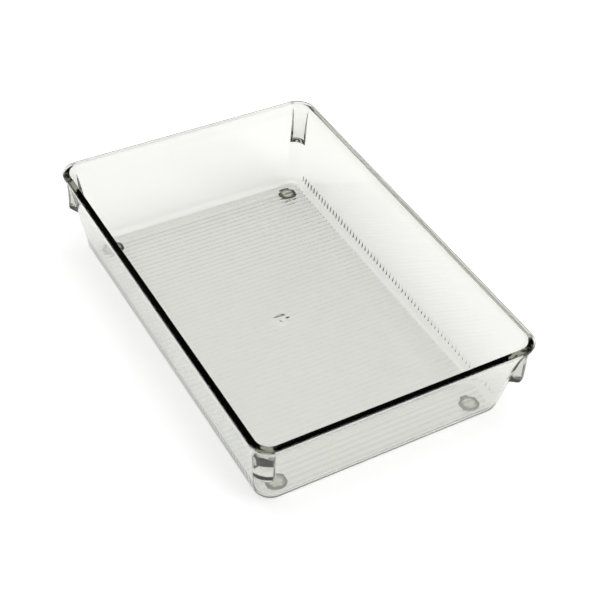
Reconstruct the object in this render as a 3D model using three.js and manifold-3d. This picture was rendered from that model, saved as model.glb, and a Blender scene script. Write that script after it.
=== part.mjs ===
// Drawer organizer insert: a clear moulded tray with a flanged rim, corner stacking lugs and a ribbed
// floor, standing on four soft domed feet that are held on by adhesive discs.
//
// Units are millimetres. +Z is up, the long side runs along Y, and the front is at -Y.
// The origin is on the surface that the tray stands on, under the middle of the tray.

import * as THREE from 'three';
import { mergeVertices } from 'three/addons/utils/BufferGeometryUtils.js';
import Module from 'manifold-3d';

const wasm = await Module();
wasm.setup();

// ---- Driving dimensions -------------------------------------------------------------------------

// Overall
const LENGTH = 228.6;
const WIDTH = 152.4;
const HEIGHT = 50.8;

// Rim flange
const RIM_CORNER_RADIUS = 10.6;
const RIM_OVERHANG = 1.6; // how far the flange stands out past the top of the wall
const RIM_THICKNESS = 2.0;
const RIM_EDGE_RADIUS = 0.5;

// Walls and floor
const WALL = 2.0;
const FLOOR = 2.0;
const SIDE_DRAFT = THREE.MathUtils.degToRad(8.6); // lean of the two long walls
const END_DRAFT = THREE.MathUtils.degToRad(10.4); // lean of the two short walls
const BASE_EDGE_RADIUS = 5.0; // outside, between wall and underside
const COVE_RADIUS = 5.0; // inside, between wall and floor

// Ribs across the floor, which climb the long walls
const RIB_PITCH = 3.175;
const RIB_WIDTH = 1.2;
const RIB_HEIGHT = 0.35;
const RIB_CLIMB = 8.0; // height above the floor at which a rib ends on the wall

// Stacking lugs, outside the wall at each corner
const LUG_SETBACK = 0.4; // from the top of the wall's outside to the lug's face
const LUG_WIDTH = 9.7;
const LUG_DROP = 24.0; // from the rim's top to the lug's lower end

// Gate mark in the middle of the underside
const GATE_RADIUS = 5.0;
const GATE_RECESS = 0.5;
const GATE_STUB_RADIUS = 1.2;
const GATE_STUB_HEIGHT = 0.3;

// Feet
const FOOT_RADIUS = 5.2;
const FOOT_CONTACT_RADIUS = 2.2; // flat that meets the drawer's bottom
const FOOT_THICKNESS = 1.7;
const FOOT_FROM_SIDE = 12.6; // foot's centre to the base's long edge
const FOOT_FROM_END = 11.2; // foot's centre to the base's short edge
const ADHESIVE_SETBACK = 0.3; // from the foot's edge to the film's
const ADHESIVE_THICKNESS = 0.2;

// Facets
const CORNER_FACETS = 7;
const FILLET_FACETS = 3;
const LUG_FACETS = 5;
const ROUND_FACETS = 28;
const DOME_FACETS = 5;

// Solids that cut or join others run past them by this much
const OVERRUN = 1.0;

// Corners of a geometry closer together than this become one
const MERGE_DISTANCE = 1e-5;

// ---- Worked out from the driving dimensions ----------------------------------------------------

const BASE_Z = FOOT_THICKNESS + ADHESIVE_THICKNESS;
const FLOOR_Z = BASE_Z + FLOOR;
const FLANGE_Z = HEIGHT - RIM_THICKNESS;
const FLANGE_MIDDLE_Z = HEIGHT - RIM_THICKNESS / 2; // the walls and lugs end here, within the flange
const LUG_BOTTOM_Z = HEIGHT - LUG_DROP;

// Outside of the wall, as if it ran up to the rim's top with no flange
const WALL_TOP = {
  halfX: WIDTH / 2 - RIM_OVERHANG,
  halfY: LENGTH / 2 - RIM_OVERHANG,
  radius: RIM_CORNER_RADIUS - RIM_OVERHANG,
};
const BASE_HALF_X = WALL_TOP.halfX - (HEIGHT - BASE_Z) * Math.tan(SIDE_DRAFT);
const BASE_HALF_Y = WALL_TOP.halfY - (HEIGHT - BASE_Z) * Math.tan(END_DRAFT);
const FOOT_X = BASE_HALF_X - FOOT_FROM_SIDE;
const FOOT_Y = BASE_HALF_Y - FOOT_FROM_END;

// ---- Solids --------------------------------------------------------------------------------------

// Turns a closed three.js geometry into a solid that can be cut and joined.
function toSolid(geometry) {
  const bare = geometry.clone();
  bare.deleteAttribute('normal');
  bare.deleteAttribute('uv');
  const merged = mergeVertices(bare, MERGE_DISTANCE);
  return new wasm.Manifold(new wasm.Mesh({
    numProp: 3,
    vertProperties: new Float32Array(merged.attributes.position.array),
    triVerts: new Uint32Array(merged.index.array),
  }));
}

function toGeometry(solid) {
  const mesh = solid.getMesh();
  const geometry = new THREE.BufferGeometry();
  geometry.setAttribute('position', new THREE.BufferAttribute(mesh.vertProperties, 3));
  geometry.setIndex(new THREE.BufferAttribute(mesh.triVerts, 1));
  geometry.computeVertexNormals();
  return geometry;
}

// Points of a rounded rectangle, anticlockwise from the +X side.
function roundedOutline({ halfX, halfY, radius }) {
  const points = [];
  const corners = [[1, 1], [-1, 1], [-1, -1], [1, -1]];
  corners.forEach(([sideX, sideY], quarter) => {
    for (let step = 0; step <= CORNER_FACETS; step += 1) {
      const angle = (quarter + step / CORNER_FACETS) * Math.PI / 2;
      points.push(new THREE.Vector2(
        sideX * (halfX - radius) + radius * Math.cos(angle),
        sideY * (halfY - radius) + radius * Math.sin(angle),
      ));
    }
  });
  return points;
}

// A closed solid through rounded rectangles stacked from the lowest to the highest.
function stackedSolid(levels) {
  const positions = [];
  const index = [];
  const count = roundedOutline(levels[0]).length;
  for (const level of levels) {
    for (const point of roundedOutline(level)) positions.push(point.x, point.y, level.z);
  }
  for (let row = 0; row < levels.length - 1; row += 1) {
    for (let i = 0; i < count; i += 1) {
      const a = row * count + i;
      const b = row * count + (i + 1) % count;
      index.push(a, b, b + count, a, b + count, a + count);
    }
  }
  const top = (levels.length - 1) * count;
  for (let i = 1; i < count - 1; i += 1) {
    index.push(0, i + 1, i);
    index.push(top, top + i, top + i + 1);
  }
  const geometry = new THREE.BufferGeometry();
  geometry.setAttribute('position', new THREE.Float32BufferAttribute(positions, 3));
  geometry.setIndex(index);
  return toSolid(geometry);
}

// How far a fillet between a floor and a leaning wall pulls the wall in, at a height above the floor.
function filletInset(rise, radius, draft) {
  if (rise >= radius * (1 - Math.sin(draft))) return 0;
  const centre = radius * (Math.tan(draft) - 1 / Math.cos(draft));
  const arc = centre + Math.sqrt(radius ** 2 - (radius - rise) ** 2);
  return rise * Math.tan(draft) - arc;
}

// The tapered bowl shape, set in by `inset` from the wall's outside, with a fillet round its floor.
function taperedBowl({ floorZ, topZ, inset, edgeRadius }) {
  const heights = [];
  const lean = Math.max(SIDE_DRAFT, END_DRAFT);
  for (let step = 0; step <= FILLET_FACETS; step += 1) {
    const angle = (Math.PI / 2 - lean) * step / FILLET_FACETS;
    heights.push(edgeRadius * (1 - Math.cos(angle)));
  }
  const tangent = edgeRadius * (1 - Math.sin(Math.min(SIDE_DRAFT, END_DRAFT)));
  if (tangent > heights[FILLET_FACETS]) heights.push(tangent);
  heights.push(topZ - floorZ);
  return stackedSolid(heights.map((rise) => {
    const z = floorZ + rise;
    const pullX = filletInset(rise, edgeRadius, SIDE_DRAFT);
    const pullY = filletInset(rise, edgeRadius, END_DRAFT);
    return {
      z,
      halfX: WALL_TOP.halfX - (HEIGHT - z) * Math.tan(SIDE_DRAFT) - inset - pullX,
      halfY: WALL_TOP.halfY - (HEIGHT - z) * Math.tan(END_DRAFT) - inset - pullY,
      radius: WALL_TOP.radius - inset - Math.max(pullX, pullY),
    };
  }));
}

// An upright cylinder that stands on z.
function disc(radius, thickness, z) {
  const geometry = new THREE.CylinderGeometry(radius, radius, thickness, ROUND_FACETS);
  geometry.rotateX(Math.PI / 2);
  geometry.translate(0, 0, z + thickness / 2);
  return geometry;
}

// ---- Tray --------------------------------------------------------------------------------------------

function rimFlange() {
  const rim = (z, inset) => ({
    z,
    halfX: WIDTH / 2 - inset,
    halfY: LENGTH / 2 - inset,
    radius: RIM_CORNER_RADIUS - inset,
  });
  return stackedSolid([
    rim(FLANGE_Z, RIM_EDGE_RADIUS),
    rim(FLANGE_Z + RIM_EDGE_RADIUS, 0),
    rim(HEIGHT - RIM_EDGE_RADIUS, 0),
    rim(HEIGHT, RIM_EDGE_RADIUS),
  ]);
}

// One lug: an upright block with a round face that continues the top of the corner downwards while
// the wall behind it leans in. Its root reaches through the wall, and the hollow cuts it off inside.
function stackingLug(sideX, sideY) {
  const face = WALL_TOP.radius - LUG_SETBACK;
  const root = LUG_DROP * Math.hypot(Math.tan(SIDE_DRAFT), Math.tan(END_DRAFT)) + WALL;
  const halfAngle = Math.asin(LUG_WIDTH / 2 / face);
  const outline = [new THREE.Vector2(-root, -LUG_WIDTH / 2)];
  for (let step = 0; step <= LUG_FACETS; step += 1) {
    const angle = halfAngle * (2 * step / LUG_FACETS - 1);
    outline.push(new THREE.Vector2(face * Math.cos(angle), face * Math.sin(angle)));
  }
  outline.push(new THREE.Vector2(-root, LUG_WIDTH / 2));
  const depth = FLANGE_MIDDLE_Z - LUG_BOTTOM_Z;
  const geometry = new THREE.ExtrudeGeometry(new THREE.Shape(outline), { depth, bevelEnabled: false });
  geometry.rotateZ(Math.atan2(sideY, sideX));
  geometry.translate(
    sideX * (WALL_TOP.halfX - WALL_TOP.radius),
    sideY * (WALL_TOP.halfY - WALL_TOP.radius),
    LUG_BOTTOM_Z,
  );
  return toSolid(geometry);
}

// The hollow inside the tray, with the ribs left standing in it.
function ribbedHollow() {
  const hollow = taperedBowl({
    floorZ: FLOOR_Z, topZ: HEIGHT + OVERRUN, inset: WALL, edgeRadius: COVE_RADIUS,
  });
  const aboveRibs = taperedBowl({
    floorZ: FLOOR_Z + RIB_HEIGHT,
    topZ: HEIGHT,
    inset: WALL + RIB_HEIGHT,
    edgeRadius: COVE_RADIUS - RIB_HEIGHT,
  });
  const ribbedHalf = BASE_HALF_Y - WALL - COVE_RADIUS;
  const perSide = Math.floor((ribbedHalf - RIB_WIDTH / 2) / RIB_PITCH);
  const slabs = [];
  for (let row = -perSide; row <= perSide; row += 1) {
    const slab = new THREE.BoxGeometry(WIDTH, RIB_WIDTH, RIB_CLIMB + OVERRUN);
    slab.translate(0, row * RIB_PITCH, FLOOR_Z + (RIB_CLIMB - OVERRUN) / 2);
    slabs.push(toSolid(slab));
  }
  const ribs = wasm.Manifold.union(slabs).subtract(aboveRibs);
  return hollow.subtract(ribs);
}

function tray() {
  let body = taperedBowl({
    floorZ: BASE_Z, topZ: FLANGE_MIDDLE_Z, inset: 0, edgeRadius: BASE_EDGE_RADIUS,
  });
  body = body.add(rimFlange());
  for (const sideX of [-1, 1]) {
    for (const sideY of [-1, 1]) body = body.add(stackingLug(sideX, sideY));
  }
  body = body.subtract(ribbedHollow());
  body = body.subtract(toSolid(disc(GATE_RADIUS, GATE_RECESS + OVERRUN, BASE_Z - OVERRUN)));
  const stubZ = BASE_Z + GATE_RECESS - GATE_STUB_HEIGHT;
  body = body.add(toSolid(disc(GATE_STUB_RADIUS, GATE_STUB_HEIGHT + GATE_RECESS, stubZ)));
  return toGeometry(body);
}

// ---- Feet -----------------------------------------------------------------------------------------

// A soft dome with a small flat under it and a flat top, standing on z = 0.
function footDome() {
  const profile = [new THREE.Vector2(0, 0)];
  for (let step = 0; step <= DOME_FACETS; step += 1) {
    const angle = step / DOME_FACETS * Math.PI / 2;
    profile.push(new THREE.Vector2(
      FOOT_CONTACT_RADIUS + (FOOT_RADIUS - FOOT_CONTACT_RADIUS) * Math.sin(angle),
      FOOT_THICKNESS * (1 - Math.cos(angle)),
    ));
  }
  profile.push(new THREE.Vector2(0, FOOT_THICKNESS));
  const geometry = new THREE.LatheGeometry(profile, ROUND_FACETS);
  geometry.rotateX(Math.PI / 2);
  return toGeometry(toSolid(geometry));
}

// ---- Materials --------------------------------------------------------------------------------------

const clearPlastic = () => new THREE.MeshStandardMaterial({
  color: 0xdfe2db, roughness: 0.06, metalness: 0, transparent: true, opacity: 0.35,
});
const clearRubber = () => new THREE.MeshStandardMaterial({
  color: 0xb9baa8, roughness: 0.25, metalness: 0, transparent: true, opacity: 0.6,
});
const adhesiveFilm = () => new THREE.MeshStandardMaterial({
  color: 0xa9a995, roughness: 0.5, metalness: 0, transparent: true, opacity: 0.7,
});

// ---- Assembly ------------------------------------------------------------------------------------

const organizer = new THREE.Group();

function place(name, geometry, material, x, y, z) {
  const mesh = new THREE.Mesh(geometry, material);
  mesh.name = name;
  mesh.position.set(x, y, z);
  organizer.add(mesh);
}

place('tray', tray(), clearPlastic(), 0, 0, 0);

const corners = [
  ['front_left', -1, -1], ['front_right', 1, -1], ['back_left', -1, 1], ['back_right', 1, 1],
];
for (const [corner, sideX, sideY] of corners) {
  const film = disc(FOOT_RADIUS - ADHESIVE_SETBACK, ADHESIVE_THICKNESS, FOOT_THICKNESS);
  place(`foot_${corner}`, footDome(), clearRubber(), sideX * FOOT_X, sideY * FOOT_Y, 0);
  place(`foot_adhesive_${corner}`, film, adhesiveFilm(), sideX * FOOT_X, sideY * FOOT_Y, 0);
}

export default organizer;
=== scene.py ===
# %% [markdown]
# # A clear tray for a drawer
#
# The object is a one-piece tray of water-clear plastic that lies in a drawer and keeps small things together.
# It stands on four soft stick-on bumpers. The CAD model is plain and gives every size and place. This script
# makes the finely moulded surfaces and the clear materials around it, then sets up a bright studio.
# Everything is in metres, and the tray's long side runs along Y.

# %% Load the CAD frame
import math

import bpy
import numpy as np
from mathutils import Matrix, Vector


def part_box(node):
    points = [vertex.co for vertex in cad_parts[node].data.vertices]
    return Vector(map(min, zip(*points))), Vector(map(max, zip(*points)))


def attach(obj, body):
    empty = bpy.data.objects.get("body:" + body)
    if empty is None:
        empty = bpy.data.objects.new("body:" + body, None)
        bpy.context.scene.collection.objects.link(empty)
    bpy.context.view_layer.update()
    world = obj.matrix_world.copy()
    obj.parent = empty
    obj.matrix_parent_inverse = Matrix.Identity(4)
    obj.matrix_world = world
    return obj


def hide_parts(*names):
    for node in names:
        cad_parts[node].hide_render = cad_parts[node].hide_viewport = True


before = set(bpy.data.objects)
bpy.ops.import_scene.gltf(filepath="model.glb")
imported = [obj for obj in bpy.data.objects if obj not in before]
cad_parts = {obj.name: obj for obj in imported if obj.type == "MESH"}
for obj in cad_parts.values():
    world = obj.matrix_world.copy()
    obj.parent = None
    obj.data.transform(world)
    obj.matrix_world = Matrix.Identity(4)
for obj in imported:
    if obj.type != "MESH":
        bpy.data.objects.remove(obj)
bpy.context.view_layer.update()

# %% [markdown]
# ## Units and driving sizes
#
# The overall sizes are read from the frame, so the fine model can't drift away from the CAD one. The
# small sizes, such as the wall or a rib, aren't in the frame's boxes, so they are repeated here by name.

# %% Sizes
MM = 0.001

tray_low, tray_high = (Vector(corner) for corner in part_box("tray"))
BASE_Z = tray_low.z
HEIGHT = tray_high.z
HALF_WIDTH = tray_high.x
HALF_LENGTH = tray_high.y

WALL = 2.0 * MM
FLOOR = 2.0 * MM
SIDE_DRAFT = math.radians(8.6)
END_DRAFT = math.radians(10.4)
EDGE_RADIUS = 5.0 * MM
RIM_OVERHANG = 1.6 * MM
RIM_THICKNESS = 2.0 * MM
RIM_CORNER = 10.6 * MM
FLOOR_Z = BASE_Z + FLOOR
FLANGE_Z = HEIGHT - RIM_THICKNESS
print(f"tray {2000 * HALF_WIDTH:.1f} x {2000 * HALF_LENGTH:.1f} mm, rim at {1000 * HEIGHT:.1f} mm")

# %% [markdown]
# ## The camera
#
# A shallow tray shows best from well above, from one corner and through a long lens, so that the far rim
# hardly shrinks. An empty to track would do for a level camera. Here the camera has a small roll too, so its
# three axes are worked out from its three angles and put straight into its matrix.

# %% Camera
VIEW_AZIMUTH = math.radians(-31.912)
VIEW_ELEVATION = math.radians(42.528)
VIEW_ROLL = math.radians(3.703)
LENS_MM = 80.654
SENSOR_MM = 36.0
CAMERA_FROM_RIM = Vector((-0.263471, -0.439811, 0.437446))


def camera_axes(azimuth, elevation, roll):
    """The camera's right, up and backward directions."""
    back = Vector((
        math.sin(azimuth) * math.cos(elevation),
        -math.cos(azimuth) * math.cos(elevation),
        math.sin(elevation),
    ))
    level_right = Vector((math.cos(azimuth), math.sin(azimuth), 0.0))
    level_up = back.cross(level_right)
    right = math.cos(roll) * level_right + math.sin(roll) * level_up
    up = -math.sin(roll) * level_right + math.cos(roll) * level_up
    return right, up, back


lens = bpy.data.cameras.new("studio_camera")
lens.lens = LENS_MM
lens.sensor_width = SENSOR_MM
lens.sensor_fit = "HORIZONTAL"
lens.clip_start = 0.01
camera = bpy.data.objects.new("studio_camera", lens)
turn = Matrix(camera_axes(VIEW_AZIMUTH, VIEW_ELEVATION, VIEW_ROLL)).transposed().to_4x4()
camera.matrix_world = Matrix.Translation(CAMERA_FROM_RIM + Vector((0, 0, HEIGHT))) @ turn
bpy.context.collection.objects.link(camera)
bpy.context.scene.camera = camera
print("camera at", [round(value, 3) for value in camera.location])

# %% [markdown]
# ## Writing shaders as sums
#
# A material is a net of small nodes. Wiring them one by one hides the idea, so a socket is wrapped in a
# small class that knows how to add, subtract and multiply. An expression such as `0.02 + 0.1 * smudge`
# then adds its own Math nodes. Every other node comes from one method, `Finish.node`, which takes the
# node's kind, its settings and what goes into its sockets. Colours are blended with a Mix node.

# %% Shader helpers
class Wire:
    """A socket that takes part in Python sums."""

    def __init__(self, finish, socket):
        self.finish = finish
        self.socket = socket

    def __add__(self, other):
        return self.finish.maths("ADD", self, other)

    def __radd__(self, other):
        return self.finish.maths("ADD", other, self)

    def __sub__(self, other):
        return self.finish.maths("SUBTRACT", self, other)

    def __rsub__(self, other):
        return self.finish.maths("SUBTRACT", other, self)

    def __mul__(self, other):
        return self.finish.maths("MULTIPLY", self, other)

    def __rmul__(self, other):
        return self.finish.maths("MULTIPLY", other, self)


class Finish:
    """A node tree, and the only way nodes are added to it."""

    def __init__(self, owner):
        owner.use_nodes = True
        self.owner = owner
        self.tree = owner.node_tree
        self.tree.nodes.clear()

    def node(self, kind, settings=None, sockets=None, out=0):
        """Adds a node, sets it, fills its sockets with values or links, and returns one of its outputs."""
        made = self.tree.nodes.new(kind)
        for name, value in (settings or {}).items():
            if name == "stops":
                fill_ramp(made.color_ramp, value)
            else:
                setattr(made, name, value)
        for name, value in (sockets or {}).items():
            if isinstance(value, Wire):
                self.tree.links.new(value.socket, made.inputs[name])
            else:
                made.inputs[name].default_value = value
        return Wire(self, made.outputs[out]) if made.outputs else made

    def maths(self, operation, *values):
        """One Math node on wires or numbers."""
        return self.node("ShaderNodeMath", {"operation": operation}, dict(enumerate(values)))

    def blend(self, first, second, share):
        """A colour between two colours."""
        return self.node("ShaderNodeMix", {"data_type": "RGBA"}, {
            "Factor": share, "A": first, "B": second,
        }, out="Result")


def new_finish(name):
    """An empty material to paint on."""
    return Finish(bpy.data.materials.new(name))


def fill_ramp(ramp, stops):
    """Gives a colour ramp its stops, each a place and a grey level."""
    while len(ramp.elements) < len(stops):
        ramp.elements.new(1.0)
    for element, (place, grey) in zip(ramp.elements, stops):
        element.position = place
        element.color = (grey, grey, grey, 1.0)


print("shader helpers:", Wire.__doc__, Finish.__doc__)

# %% [markdown]
# ## The floor
#
# Clear plastic has no colour of its own: it shows what stands around it. The floor is a wide sheet of white
# paper. Lit only from above, it would have a strong shadow round the tray's thick lower edge, so much of its
# light is its own, as on a light table.

# %% Floor
FLOOR_SIZE = 40.0
FLOOR_DROP = 0.05 * MM
FLOOR_GLOW = 0.57


def pale_floor():
    """White paper with fine fibres that gives some light of its own."""
    finish = new_finish("pale_paper")
    fibres = finish.node("ShaderNodeTexNoise", None, {"Scale": 300.0, "Detail": 4.0})
    shader = finish.node("ShaderNodeBsdfPrincipled", None, {
        "Base Color": (0.93, 0.93, 0.93, 1.0),
        "Roughness": 0.75 + 0.1 * fibres,
        "Specular IOR Level": 0.2,
        "Emission Color": (1.0, 1.0, 1.0, 1.0),
        "Emission Strength": FLOOR_GLOW,
    })
    finish.node("ShaderNodeOutputMaterial", None, {"Surface": shader})
    return finish.owner


bpy.ops.mesh.primitive_plane_add(size=FLOOR_SIZE, location=(0, 0, -FLOOR_DROP))
floor = bpy.context.active_object
floor.name = "studio_floor"
floor.data.materials.append(pale_floor())
print("floor:", FLOOR_SIZE, "m across, glowing at", FLOOR_GLOW)

# %% [markdown]
# ## The sky
#
# With light from everywhere a clear tray would vanish into the white. Glass is lit with the middle of its
# surroundings kept dark: the thick edges show that dark band, and they draw the shape. So the sky is a
# colour ramp on the upward share of the direction: bright at the horizon, dark in the middle and bright
# overhead. Two soft patches are added as softboxes, one high behind the tray and one in front of it. Area
# lamps could do the same, but a patch of sky has soft edges and puts no hard lamp shape into the plastic.

# %% Sky
SKY_LIGHT = 1.5
SKY_STOPS = (  # upward share of the direction, and grey level of the light from there
    (0.0, 0.67), (0.05, 0.62), (0.14, 0.015), (0.82, 0.015), (0.88, 1.0),
)
SOFTBOXES = (  # where each stands, the cosines of its angles from dark to full, and its strength
    (Vector((-0.15, 0.63, 0.76)), (0.96, 0.99), 1.5),
    (Vector((0.39, -0.63, 0.50)), (0.88, 0.96), 1.6),
)

world = bpy.data.worlds.new("studio_sky")
bpy.context.scene.world = world
sky = Finish(world)
direction = sky.node("ShaderNodeTexCoord", out="Generated")
upward = sky.node("ShaderNodeSeparateXYZ", None, {"Vector": direction}, out="Z")
glow = sky.node("ShaderNodeValToRGB", {"stops": SKY_STOPS}, {"Fac": upward})
light = SKY_LIGHT * glow
for towards, (dark, full), strength in SOFTBOXES:
    facing = sky.node("ShaderNodeVectorMath", {"operation": "DOT_PRODUCT"}, {
        0: direction, 1: towards.normalized(),
    }, out="Value")
    box_share = sky.node("ShaderNodeMapRange", {"interpolation_type": "SMOOTHSTEP"}, {
        "Value": facing, "From Min": dark, "From Max": full,
    })
    light = light + strength * box_share
background = sky.node("ShaderNodeBackground", None, {"Color": (1.0, 1.0, 1.0, 1.0), "Strength": light})
sky.node("ShaderNodeOutputWorld", None, {"Surface": background})
bpy.context.scene.view_settings.view_transform = "Standard"
print("sky:", len(SKY_STOPS), "stops and", len(SOFTBOXES), "softboxes")

# %% [markdown]
# ## Clear plastic
#
# The tray is a polished, rigid, clear moulding. Light bends on its way in and out. The grey of the plastic
# shows most where the path through it is long, so most of it is a volume and only a trace is surface colour.
# What things do to the surface in use is on it as well: smudges make it a little less glossy, and short
# scuffs run across it. The tops of the ribs on the floor are painted a little greyer than the floor between
# them. That grey is painted shade, chosen to make ribs this low show from above: it stands in for the dark
# lines that the ribs throw by bending light.

# %% Clear plastic
RIB_PITCH = 3.175 * MM
# Where the painted rib shade lies: up to this height above the floor and within this half width.
RIB_SHADE_ABOVE = 0.7 * MM
RIB_SHADE_HALF_WIDTH = 64.0 * MM


def rib_shade_lines(finish, spot):
    """Painted shade mask: 1 along the top of each rib on the floor, 0 between the ribs and everywhere else.
    """
    across, along, height = (
        finish.node("ShaderNodeSeparateXYZ", None, {"Vector": spot}, out=axis) for axis in "XYZ"
    )
    wave = finish.maths("COSINE", (2 * math.pi / RIB_PITCH) * along)
    on_floor = finish.maths("COMPARE", height, FLOOR_Z, RIB_SHADE_ABOVE)
    within = finish.maths("LESS_THAN", finish.maths("ABSOLUTE", across), RIB_SHADE_HALF_WIDTH)
    return (0.5 + 0.5 * wave) * on_floor * within


def clear_plastic():
    """The tray's plastic: clear, faintly grey in its depth, smudged and scuffed, with painted shade on the
    rib tops.
    """
    finish = new_finish("clear_plastic")
    spot = finish.node("ShaderNodeTexCoord", out="Object")
    smudge = finish.node("ShaderNodeTexNoise", None, {"Vector": spot, "Scale": 38.0, "Detail": 3.0})
    painted_rib_shade = rib_shade_lines(finish, spot)
    wave = finish.node("ShaderNodeTexNoise", None, {"Vector": spot, "Scale": 55.0, "Detail": 1.0})
    stretched = finish.node("ShaderNodeVectorMath", {"operation": "MULTIPLY"}, {
        0: spot, 1: (1.0, 14.0, 6.0),
    })
    strokes = finish.node("ShaderNodeTexNoise", None, {"Vector": stretched, "Scale": 90.0, "Detail": 2.0})
    scuff = finish.node("ShaderNodeMapRange", {"interpolation_type": "SMOOTHSTEP"}, {
        "Value": strokes * smudge, "From Min": 0.33, "From Max": 0.45,
    })
    bump = finish.node("ShaderNodeBump", None, {
        "Height": wave + 0.15 * scuff, "Strength": 0.25, "Distance": 0.02 * MM,
    })
    shader = finish.node("ShaderNodeBsdfPrincipled", None, {
        # Painted shade: the rib tops turn grey, standing in for the dark lines that the ribs throw.
        "Base Color": finish.blend((0.965, 0.97, 0.95, 1.0), (0.77, 0.78, 0.73, 1.0), painted_rib_shade),
        "Roughness": 0.015 + 0.02 * smudge + 0.1 * scuff,
        "IOR": 1.57,
        "Transmission Weight": 1.0,
        "Normal": bump,
    })
    inside = finish.node("ShaderNodeVolumeAbsorption", None, {
        "Color": (0.32, 0.33, 0.22, 1.0), "Density": 66.0,
    })
    finish.node("ShaderNodeOutputMaterial", None, {"Surface": shader, "Volume": inside})
    return finish.owner


plastic = clear_plastic()
print("clear plastic:", len(plastic.node_tree.nodes), "nodes")

# %% [markdown]
# ## Rings round the tray
#
# Every level of the tray is a rounded rectangle. A ring is that outline cut into points, always in the same
# order, so that two rings join with plain quads. The corners are cut finer than the sides, and finest
# where the edges of the stacking lugs will be.

# %% Ring points
CORNER_CUTS = (45, 41.5, 38.5, 36, 34.4, 33.4, 32.6, 31.8, 30.8, 28, 24, 20, 16, 12, 8, 4)
CORNER_SPOTS = np.radians([-cut for cut in CORNER_CUTS] + [0] + list(reversed(CORNER_CUTS)))
END_SPOTS = 15  # points on each short side
END_CUTS = np.linspace(-1, 1, END_SPOTS + 2)[1:-1]


def side_ways(side):
    """The outward and the onward direction of a side: 0 right, 1 back, 2 left, 3 front."""
    angle = side * math.pi / 2
    outward = np.array([round(math.cos(angle)), round(math.sin(angle))], dtype=float)
    return outward, np.array([-outward[1], outward[0]])


def ring_points(half_x, half_y, radius, rows):
    """Plan points, outward directions and corner spots of a rounded rectangle, anticlockwise."""
    plan, outward, spots = [], [], []
    for side in range(4):
        out, onward = side_ways(side)
        reach = half_y if side % 2 else half_x
        steps = END_CUTS * (half_x - radius) if side % 2 else rows
        plan.append(reach * out + np.outer(steps, onward))
        outward.append(np.tile(out, (len(steps), 1)))
        spots.append(np.full(len(steps), np.nan))
        angles = (side + 0.5) * math.pi / 2 + CORNER_SPOTS
        fan = np.column_stack([np.cos(angles), np.sin(angles)])
        plan.append(np.sign(out + onward) * (half_x - radius, half_y - radius) + radius * fan)
        outward.append(fan)
        spots.append(CORNER_SPOTS)
    return np.concatenate(plan), np.concatenate(outward), np.concatenate(spots)


def ring_chains(rows):
    """The places in a ring of its four sides and four corners, in order: side, corner, side, ..."""
    chains, start = [], 0
    for side in range(4):
        for count in (len(END_CUTS) if side % 2 else len(rows), len(CORNER_SPOTS)):
            chains.append(list(range(start, start + count)))
            start += count
    return chains


print(f"each corner is cut at {len(CORNER_SPOTS)} places, each short side at {len(END_CUTS)}")

# %% [markdown]
# ## A mesh that grows ring by ring
#
# The skin of the tray is one surface: from the middle of the underside out to its edge, up the outside,
# over the rim, down the inside and across the floor. `Skin` keeps the points and faces as it grows. Most
# rings join with quads. Where a coarse ring meets a fine one, the strip between is flat, so it can be
# stitched with triangles and nobody can see it.

# %% Skin
class Skin:
    """Points and faces of a closed surface."""

    def __init__(self):
        self.points = []
        self.faces = []

    def add(self, points):
        """Adds points and returns their numbers."""
        start = len(self.points)
        self.points += [tuple(point) for point in points]
        return list(range(start, len(self.points)))

    def join(self, inner, outer, closed=True):
        """Quads between two rings, or two open chains, of the same length."""
        count = len(inner)
        for i in range(count if closed else count - 1):
            after = (i + 1) % count
            self.faces.append((inner[i], inner[after], outer[after], outer[i]))

    def stitch(self, inner, outer, inner_places, outer_places):
        """Triangles between two chains of unlike length, led by each point's place along the chain."""
        i = j = 0
        while i < len(inner) - 1 or j < len(outer) - 1:
            inner_next = inner_places[i + 1] if i < len(inner) - 1 else math.inf
            outer_next = outer_places[j + 1] if j < len(outer) - 1 else math.inf
            if inner_next <= outer_next:
                self.faces.append((inner[i], inner[i + 1], outer[j]))
                i += 1
            else:
                self.faces.append((inner[i], outer[j + 1], outer[j]))
                j += 1

    def object(self, name, material):
        """Makes the Blender object. Weighted normals keep the large flats flat beside small radii."""
        mesh = bpy.data.meshes.new(name)
        mesh.from_pydata(self.points, [], self.faces)
        mesh.validate()
        mesh.polygons.foreach_set("use_smooth", [True] * len(mesh.polygons))
        mesh.materials.append(material)
        piece = bpy.data.objects.new(name, mesh)
        bpy.context.collection.objects.link(piece)
        weighted = piece.modifiers.new("flat_flats", "WEIGHTED_NORMAL")
        weighted.weight = 100
        weighted.keep_sharp = True
        return piece


print("skin helper:", Skin.__doc__)

# %% [markdown]
# ## Levels of the tapered walls
#
# A mould has to let go of the part, so the walls lean: they are drafted. The short walls lean a little more
# than the long ones. A level gives the outline at one height, set in from the wall's outside, with the
# fillet between wall and floor where the level is low enough.

# %% Levels
WALL_TOP_X = HALF_WIDTH - RIM_OVERHANG
WALL_TOP_Y = HALF_LENGTH - RIM_OVERHANG
WALL_TOP_RADIUS = RIM_CORNER - RIM_OVERHANG


def fillet_pull(rise, draft):
    """How far the floor fillet pulls a leaning wall in, at a height above the floor."""
    if rise >= EDGE_RADIUS * (1 - math.sin(draft)):
        return 0.0
    centre = EDGE_RADIUS * (math.tan(draft) - 1 / math.cos(draft))
    arc = math.sqrt(EDGE_RADIUS ** 2 - (EDGE_RADIUS - rise) ** 2)
    return rise * math.tan(draft) - centre - arc


def level(z, floor_z, inset):
    """Half width, half length and corner radius at height z of the bowl that stands on floor_z."""
    pull_x = fillet_pull(z - floor_z, SIDE_DRAFT)
    pull_y = fillet_pull(z - floor_z, END_DRAFT)
    return (
        WALL_TOP_X - (HEIGHT - z) * math.tan(SIDE_DRAFT) - inset - pull_x,
        WALL_TOP_Y - (HEIGHT - z) * math.tan(END_DRAFT) - inset - pull_y,
        WALL_TOP_RADIUS - inset - max(pull_x, pull_y),
    )


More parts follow.
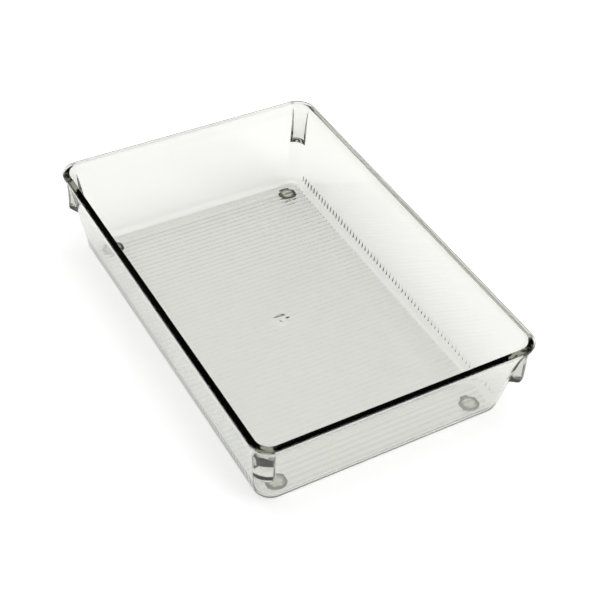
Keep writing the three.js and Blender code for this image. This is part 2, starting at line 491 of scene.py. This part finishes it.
FILLET_STEPS = 11
FILLET_RISES = [
    EDGE_RADIUS * (1 - math.cos(step / FILLET_STEPS * (math.pi / 2 - SIDE_DRAFT)))
    for step in range(FILLET_STEPS + 1)
]
print("fillet rises, mm:", [round(rise / MM, 2) for rise in FILLET_RISES])

# %% [markdown]
# ## Ribs on the floor
#
# Fine ribs run across the floor and a little way up the long walls, so that small things don't slide. They
# are a smooth wave in the mesh itself, about a millimetre and a half wide at half their height, because
# light has to bend through their real shape. Near their upper ends they get lower and fade into the wall.

# %% Ribs
RIB_HEIGHT = 0.35 * MM
RIB_TOP = 0.1 * MM
RIB_FOOT = 1.5 * MM
RIB_CLIMB = 8.0 * MM
RIB_FADE = 0.7 * MM
RIB_TAPER_FROM = 4.8 * MM
RIBS_EACH_WAY = 30
ROW_MARGIN = 0.1 * MM  # kept free between the last row and the corner
PLAIN_SPOTS = 15  # points on each long side of a ring without ribs
PLAIN_REACH = 0.97  # how much of the straight side they cover
RIB_CUTS = np.array([-1.3, -1.08, -0.84, -0.6, -0.32, 0.0, 0.32, 0.6, 0.84, 1.08, 1.3]) * MM


def ease(low, high, value):
    """0 below low, 1 above high, and a smooth step between."""
    share = np.clip((value - low) / (high - low), 0, 1)
    return share * share * (3 - 2 * share)


def rib_rise(y, climb):
    """Height of the rib pattern at a place along the tray and a height above the floor."""
    beside = np.abs(y - RIB_PITCH * np.round(y / RIB_PITCH))
    last = (RIBS_EACH_WAY + 0.5) * RIB_PITCH
    shape = 1 - ease(RIB_TOP, RIB_FOOT, beside)
    ends = 1 - ease(last - RIB_FADE, last, np.abs(y))
    top = 1 - ease(RIB_TAPER_FROM, RIB_CLIMB, climb)
    return RIB_HEIGHT * shape * ends * top


_, FLOOR_Y, FLOOR_CORNER = level(FLOOR_Z, FLOOR_Z, WALL)
rib_rows = np.concatenate([rib * RIB_PITCH + RIB_CUTS for rib in range(-RIBS_EACH_WAY, RIBS_EACH_WAY + 1)])
RIB_ROWS = rib_rows[np.abs(rib_rows) < FLOOR_Y - FLOOR_CORNER - ROW_MARGIN]
PLAIN_ROWS = np.linspace(-1, 1, PLAIN_SPOTS) * PLAIN_REACH * (FLOOR_Y - FLOOR_CORNER)
print(f"{2 * RIBS_EACH_WAY + 1} ribs, {len(RIB_ROWS)} rows of points along the floor")

# %% [markdown]
# ## Stacking lugs
#
# At each corner a lug stands on the outside of the wall, so that a tray put on top lands on it. Its face goes
# straight down from the rim while the wall leans away. In the mesh it is the same ring of points, moved
# outwards along the corner's diagonal, with a narrow blend at the lug's sides.

# %% Lugs
LUG_SETBACK = 0.4 * MM
LUG_DROP = 24.0 * MM
LUG_WIDTH = 9.7 * MM
LUG_BLEND = 0.16 * MM
LUG_FACE = WALL_TOP_RADIUS - LUG_SETBACK
LUG_FOOT_Z = HEIGHT - LUG_DROP


def with_lugs(plan, spots, amount, outset=0.0):
    """Moves the corner points of a ring out to the lugs' faces by an amount from 0 to 1."""
    moved = plan.copy()
    for corner in range(4):
        middle = (corner + 0.5) * math.pi / 2
        diagonal = np.array([math.cos(middle), math.sin(middle)])
        onward = np.array([-diagonal[1], diagonal[0]])
        out, forth = side_ways(corner)
        centre = np.sign(out + forth) * (WALL_TOP_X - WALL_TOP_RADIUS, WALL_TOP_Y - WALL_TOP_RADIUS)
        chain = ~np.isnan(spots) & (np.sign(plan) == np.sign(diagonal)).all(axis=1)
        aside = (WALL_TOP_RADIUS + outset) * np.sin(spots[chain])
        edge = LUG_WIDTH / 2 + outset
        share = amount * (1 - ease(edge - LUG_BLEND, edge + LUG_BLEND, np.abs(aside)))
        depth = np.sqrt((LUG_FACE + outset) ** 2 - aside ** 2)
        face = centre + np.outer(aside, onward) + np.outer(depth, diagonal)
        moved[chain] += share[:, None] * (face - plan[chain])
    return moved


print(f"lugs {LUG_WIDTH / MM:.1f} mm wide, down to {LUG_FOOT_Z / MM:.1f} mm above the table")

# %% [markdown]
# ## The gate mark
#
# The plastic flowed into the mould through a gate in the middle of the underside. The shallow dish and the
# small stub left there are turned from a short profile, ring by ring, with soft slopes.

# %% Gate mark
GATE_RINGS = (  # radius and height above the underside, in millimetres
    (0.4, 0.21), (0.8, 0.24), (1.1, 0.34), (1.4, 0.44), (1.7, 0.49), (2.1, 0.48), (2.6, 0.43),
    (3.1, 0.35), (3.6, 0.25), (4.1, 0.15), (4.6, 0.06), (5.0, 0.015), (5.2, 0.0),
)
GATE_CUTS = 72


def gate_mark(skin):
    """The round recess in the middle of the underside. Returns its outermost ring and its angles."""
    angles = np.arange(GATE_CUTS) / GATE_CUTS * 2 * math.pi
    middle = skin.add([(0, 0, BASE_Z + GATE_RINGS[0][1] * MM)])[0]
    last = None
    for radius, rise in GATE_RINGS:
        ring = skin.add(np.column_stack([
            radius * MM * np.cos(angles),
            radius * MM * np.sin(angles),
            np.full(GATE_CUTS, BASE_Z + rise * MM),
        ]))
        if last is None:
            skin.faces += [(middle, ring[(i + 1) % GATE_CUTS], ring[i]) for i in range(GATE_CUTS)]
        else:
            skin.join(last, ring)
        last = ring
    return last, angles


print("gate mark:", len(GATE_RINGS), "rings of", GATE_CUTS, "points")

# %% [markdown]
# ## The outside, from the underside to the rim
#
# The rings climb round the lower edge, up the wall and over the lugs, whose lower ends slope like the end
# of a chisel. Toward the rim the wall grows thicker in a long, narrow blend, which the CAD model doesn't
# have. It is a guess, made for the look: with it the near-left rim turns dark over most of its width.

# %% Outside and rim
PLAIN_OUTSIDE_HEIGHTS = (10.0, 15.0)
LUG_FOOT_STEPS = (  # height above the lug's foot in millimetres, and how far the lug is out
    (-7.0, 0.0), (-3.0, 0.0), (-0.8, 0.0), (0.0, 0.0), (0.15, 0.12), (0.5, 0.45), (0.9, 0.78), (1.3, 0.95),
    (1.7, 1.0), (2.6, 1.0), (5.0, 1.0), (8.0, 1.0), (11.0, 1.0),
)
UNDER_BLEND = 1.5 * MM  # how far the blend reaches out under the flange
UNDER_DROP = 10.0 * MM  # and how far down the wall it starts
UNDER_STEPS = 6
RIM_EDGE = 0.5 * MM
INNER_EDGE = 0.6 * MM
ROUND_STEPS = 5
PLAIN_INSIDE_HEIGHTS = (44.0, 36.0, 28.0, 20.0, 15.0)


def outer_ring(skin, z, size, lug=0.0, outset=0.0):
    """A coarse ring of a given size, with the lugs out by an amount from 0 to 1."""
    half_x, half_y, radius = size
    plan, _, spots = ring_points(half_x + outset, half_y + outset, radius + outset, PLAIN_ROWS)
    plan = with_lugs(plan, spots, lug, outset)
    return skin.add(np.column_stack([plan, np.full(len(plan), z)]))


def rim_size(inset):
    """Half width, half length and corner radius of the rim, set in from its outermost line."""
    return HALF_WIDTH - inset, HALF_LENGTH - inset, RIM_CORNER - inset


def inside_size(z):
    """The same three sizes for the inside of the wall."""
    return level(z, FLOOR_Z, WALL)


def outside_rings(skin):
    """Rings from the edge of the flat underside up to the underside of the flange."""
    for rise in FILLET_RISES:
        yield outer_ring(skin, BASE_Z + rise, level(BASE_Z + rise, BASE_Z, 0))
    for height in PLAIN_OUTSIDE_HEIGHTS:
        yield outer_ring(skin, height * MM, level(height * MM, BASE_Z, 0))
    for rise, lug in LUG_FOOT_STEPS:
        z = LUG_FOOT_Z + rise * MM
        yield outer_ring(skin, z, level(z, BASE_Z, 0), lug)
    for step in range(UNDER_STEPS + 1):
        angle = step / UNDER_STEPS * math.pi / 2
        z = FLANGE_Z - UNDER_DROP * (1 - math.sin(angle))
        outset = UNDER_BLEND * (1 - math.cos(angle))
        yield outer_ring(skin, z, level(z, BASE_Z, 0), 1.0, outset)


def rim_rings(skin):
    """Rings round the flange: lower edge, face, upper edge, flat top and the inner edge."""
    for step in range(ROUND_STEPS + 1):
        angle = step / ROUND_STEPS * math.pi / 2
        inset = RIM_EDGE * (1 - math.sin(angle))
        yield outer_ring(skin, FLANGE_Z + RIM_EDGE * (1 - math.cos(angle)), rim_size(inset))
    for step in range(ROUND_STEPS + 1):
        angle = step / ROUND_STEPS * math.pi / 2
        inset = RIM_EDGE * (1 - math.cos(angle))
        yield outer_ring(skin, HEIGHT - RIM_EDGE * (1 - math.sin(angle)), rim_size(inset))
    for step in range(ROUND_STEPS + 1):
        angle = step / ROUND_STEPS * math.pi / 2
        z = HEIGHT - INNER_EDGE * (1 - math.cos(angle))
        yield outer_ring(skin, z, inside_size(z), outset=INNER_EDGE * (1 - math.sin(angle)))
    for height in PLAIN_INSIDE_HEIGHTS:
        yield outer_ring(skin, height * MM, inside_size(height * MM))


print(f"wall and flange meet over {UNDER_DROP / MM:.0f} mm of height")

# %% [markdown]
# ## The ribbed inside
#
# From the upper ends of the ribs down, the rings are cut fine along the long sides: eleven rows of points for
# every rib. The same rib height is laid on in the direction that the surface faces, sideways on the wall,
# slanting in the cove and upwards on the floor. A displacement modifier could do this too, but then the
# outside would need the same fine mesh.

# %% Ribbed inside
RIBBED_CLIMBS = (8.6, 8.0, 7.8, 7.6, 7.3, 6.5, 5.2)  # millimetres above the floor, on the wall
SIDEWAYS = 0.02  # with less than this share of its direction sideways, a point faces a short wall


def ribbed_ring(skin, z, tilt):
    """A fine ring of the cove or the wall above it, with the ribs standing out of it."""
    plan, outward, _ = ring_points(*inside_size(z), RIB_ROWS)
    rise = rib_rise(plan[:, 1], z - FLOOR_Z) * np.where(np.abs(outward[:, 0]) > SIDEWAYS, 1.0, math.cos(tilt))
    plan = plan - outward * (rise * math.sin(tilt))[:, None]
    return skin.add(np.column_stack([plan, z + rise * math.cos(tilt)]))


def ribbed_rings(skin):
    """Fine rings from above the ribs down through the cove to the floor's edge."""
    steep = math.pi / 2 - SIDE_DRAFT
    for climb in RIBBED_CLIMBS:
        yield ribbed_ring(skin, FLOOR_Z + climb * MM, steep)
    for step in range(FILLET_STEPS, -1, -1):
        yield ribbed_ring(skin, FLOOR_Z + FILLET_RISES[step], step / FILLET_STEPS * steep)


def floor_patch(skin, ring):
    """Fills the last ring with rows from its left to its right side, with the ribs on them."""
    chains = [[ring[i] for i in chain] for chain in ring_chains(RIB_ROWS)]
    right = chains[7] + chains[0] + chains[1]
    left = (chains[3] + chains[4] + chains[5])[::-1]
    front, back = chains[6], chains[2][::-1]
    last = [left[0]] + front + [right[0]]
    for row in range(1, len(right)):
        if row == len(right) - 1:
            here = [left[row]] + back + [right[row]]
        else:
            x, y, _ = skin.points[right[row]]
            z = FLOOR_Z + float(rib_rise(y, 0.0))
            here = [left[row]] + skin.add([(cut * x, y, z) for cut in END_CUTS]) + [right[row]]
        for i in range(len(here) - 1):
            skin.faces.append((last[i], last[i + 1], here[i + 1], here[i]))
        last = here


print(f"{len(RIBBED_CLIMBS) + FILLET_STEPS + 1} fine rings from the wall to the floor's edge")

# %% [markdown]
# ## Joining the rings
#
# Now every ring is laid and joined to the one before. Only two strips need triangles: between the round gate
# mark and the rounded rectangle of the underside, and between the coarse rings of the upper wall and the
# fine rings of the ribs. Both strips are flat, so the triangles don't show.

# %% Joining
def stitch_sides(skin, inner, outer, inner_rows, outer_rows):
    """Joins a coarse ring to a fine one: quads round the corners, triangles along the sides."""
    inner_chains, outer_chains = ring_chains(inner_rows), ring_chains(outer_rows)
    for number in range(1, 8, 2):
        skin.join([inner[i] for i in inner_chains[number]], [outer[i] for i in outer_chains[number]], False)
    for number in range(0, 8, 2):
        before, after = (number - 1) % 8, number + 1
        ends = []
        for ring, chains in ((inner, inner_chains), (outer, outer_chains)):
            chain = [ring[chains[before][-1]]] + [ring[i] for i in chains[number]] + [ring[chains[after][0]]]
            places = np.array([skin.points[i][:2] for i in chain])
            _, onward = side_ways(number // 2)
            along = places @ onward
            ends += [chain, along]
        skin.stitch(ends[0], ends[2], ends[1], ends[3])


def grow_tray():
    """The whole skin, from the gate mark out, up, over the rim and down to the floor."""
    skin = Skin()
    gate, gate_angles = gate_mark(skin)
    rings = list(outside_rings(skin)) + list(rim_rings(skin))
    edge = [np.array(skin.points[i][:2]) for i in rings[0]]
    start = math.atan2(edge[0][1], edge[0][0])
    turns = [(math.atan2(y, x) - start) % (2 * math.pi) for x, y in edge]
    first = int(np.argmin((gate_angles - start) % (2 * math.pi)))
    gate_turns = [(angle - start) % (2 * math.pi) for angle in np.roll(gate_angles, -first)]
    gate = gate[first:] + gate[:first]
    full = 2 * math.pi
    skin.stitch(gate + [gate[0]], rings[0] + [rings[0][0]],
                gate_turns + [full + gate_turns[0]], turns + [full])
    for lower, upper in zip(rings, rings[1:]):
        skin.join(lower, upper)
    fine = list(ribbed_rings(skin))
    stitch_sides(skin, rings[-1], fine[0], PLAIN_ROWS, RIB_ROWS)
    for upper, lower in zip(fine, fine[1:]):
        skin.join(upper, lower)
    floor_patch(skin, fine[-1])
    return skin


tray = grow_tray().object("moulded_tray", plastic)
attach(tray, "root")
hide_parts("tray")
print(f"tray: {len(tray.data.vertices)} points, {len(tray.data.polygons)} faces")

# %% [markdown]
# ## What the bumpers are made of
#
# The feet are soft clear domes that come on a sheet, each with its own disc of adhesive. The rubber is clear
# with a fine haze. The film is clear too, and a dark ring is painted at its edge: painted shade for the dark
# rim that the dome shows when seen through the tray. A ring of its own mesh would be too crisp, so the
# painted ring is a blend on the distance from the middle.

# %% Bumper materials
EDGE_SHADE_REACH = (0.45, 0.9)  # shares of the bumper's radius between which the painted edge shade builds up


def edge_shade_ring(finish, cloud):
    """0 in the middle of a bumper and 1 at its edge: the mask of the painted shade ring at the film's edge.
    """
    place = finish.node("ShaderNodeTexCoord", out="Generated")
    centred = finish.node("ShaderNodeVectorMath", {"operation": "MULTIPLY_ADD"}, {
        0: place, 1: (2.0, 2.0, 0.0), 2: (-1.0, -1.0, 0.0),
    })
    distance = finish.node("ShaderNodeVectorMath", {"operation": "LENGTH"}, {0: centred}, out="Value")
    return finish.node("ShaderNodeMapRange", {"interpolation_type": "SMOOTHSTEP"}, {
        "Value": distance + 0.1 * (cloud - 0.5), "From Min": EDGE_SHADE_REACH[0], "From Max": EDGE_SHADE_REACH[1],
    })


def bumper_rubber():
    """Soft clear rubber with a fine haze."""
    finish = new_finish("bumper_rubber")
    spot = finish.node("ShaderNodeTexCoord", out="Object")
    haze = finish.node("ShaderNodeTexNoise", None, {"Vector": spot, "Scale": 600.0, "Detail": 3.0})
    bump = finish.node("ShaderNodeBump", None, {"Height": haze, "Strength": 0.2, "Distance": 0.02 * MM})
    shader = finish.node("ShaderNodeBsdfPrincipled", None, {
        "Base Color": (0.93, 0.94, 0.87, 1.0),
        "Roughness": 0.03 + 0.05 * haze,
        "IOR": 1.48,
        "Transmission Weight": 1.0,
        "Normal": bump,
    })
    finish.node("ShaderNodeOutputMaterial", None, {"Surface": shader})
    return finish.owner


def adhesive_film():
    """Clear film with a painted ring of shade at its edge."""
    finish = new_finish("adhesive_film")
    spot = finish.node("ShaderNodeTexCoord", out="Object")
    cloud = finish.node("ShaderNodeTexNoise", None, {"Vector": spot, "Scale": 900.0, "Detail": 4.0})
    painted_edge_shade = edge_shade_ring(finish, cloud)
    bump = finish.node("ShaderNodeBump", None, {"Height": cloud, "Strength": 0.3, "Distance": 0.02 * MM})
    shader = finish.node("ShaderNodeBsdfPrincipled", None, {
        # Painted shade: the film turns almost black towards its edge.
        "Base Color": finish.blend((0.98, 0.98, 0.94, 1.0), (0.05, 0.05, 0.025, 1.0), painted_edge_shade),
        "Roughness": 0.04 + 0.05 * cloud + 0.2 * painted_edge_shade,
        "IOR": 1.48,
        "Transmission Weight": 1.0,
        "Normal": bump,
    })
    finish.node("ShaderNodeOutputMaterial", None, {"Surface": shader})
    return finish.owner


rubber, film = bumper_rubber(), adhesive_film()
print("bumper materials:", rubber.name, "and", film.name)

# %% [markdown]
# ## Bumpers and films
#
# A bumper and a film are round, so each is turned: a short profile is swept once round its own axis. The
# dome stands on a small flat and bulges out to its widest line just under the film. Between rubber, film and
# tray a gap thinner than a hair keeps two clear surfaces from lying in one another.

# %% Bumpers
ROUND_CUTS = 64
CONTACT_RADIUS = 2.2 * MM
DOME_STEPS = 14
DOME_EDGE = 0.1 * MM
FILM_EDGE = 0.04 * MM
FILM_GAP = 0.02 * MM
FLAT_SHARE = 0.6  # share of the radius at which a flat face gets a ring of points
BREAK_SHARE = 0.3  # share of an edge that its middle point is cut back by


def turned(name, profile, middle, material):
    """A closed body turned from a profile of (radius, height) points, lowest first."""
    skin = Skin()
    angles = np.arange(ROUND_CUTS) / ROUND_CUTS * 2 * math.pi
    low = skin.add([(middle[0], middle[1], profile[0][1])])[0]
    last = None
    for radius, z in profile:
        ring = skin.add(np.column_stack([
            middle[0] + radius * np.cos(angles),
            middle[1] + radius * np.sin(angles),
            np.full(ROUND_CUTS, z),
        ]))
        if last is None:
            skin.faces += [(low, ring[(i + 1) % ROUND_CUTS], ring[i]) for i in range(ROUND_CUTS)]
        else:
            skin.join(last, ring)
        last = ring
    high = skin.add([(middle[0], middle[1], profile[-1][1])])[0]
    skin.faces += [(high, last[i], last[(i + 1) % ROUND_CUTS]) for i in range(ROUND_CUTS)]
    return skin.object(name, material)


def edged_disc(radius, low, high, edge):
    """Profile of a disc with small rounded edges."""
    cut = BREAK_SHARE * edge
    return [(FLAT_SHARE * radius, low), (radius - edge, low), (radius - cut, low + cut),
            (radius, low + edge), (radius, high - edge), (radius - cut, high - cut),
            (radius - edge, high), (FLAT_SHARE * radius, high)]


def dome_profile(radius, top):
    """From the flat that stands on the drawer, round the dome, to the flat under the film."""
    profile = [(0.5 * CONTACT_RADIUS, 0.0)]
    for step in range(DOME_STEPS + 1):
        angle = step / DOME_STEPS * math.pi / 2
        profile.append((
            CONTACT_RADIUS + (radius - CONTACT_RADIUS) * math.sin(angle),
            (top - DOME_EDGE) * (1 - math.cos(angle)),
        ))
    cut = BREAK_SHARE * DOME_EDGE
    return profile + [(radius - cut, top - cut), (radius - DOME_EDGE, top), (FLAT_SHARE * radius, top)]


for corner in ("front_left", "front_right", "back_left", "back_right"):
    for node, slot in ((f"foot_{corner}", "clear_rubber"), (f"foot_adhesive_{corner}", "adhesive_film")):
        low, high = (Vector(point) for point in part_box(node))
        middle = (low + high) / 2
        radius = (high.x - low.x) / 2
        if slot == "clear_rubber":
            piece = turned(f"bumper_{corner}", dome_profile(radius, high.z - FILM_GAP), middle, rubber)
        else:
            disc = edged_disc(radius, low.z, high.z - FILM_GAP, FILM_EDGE)
            piece = turned(f"bumper_film_{corner}", disc, middle, film)
        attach(piece, "root")
        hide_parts(node)
print("bumpers and films stand for", sum(name.startswith("foot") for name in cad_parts), "CAD nodes")

# %% [markdown]
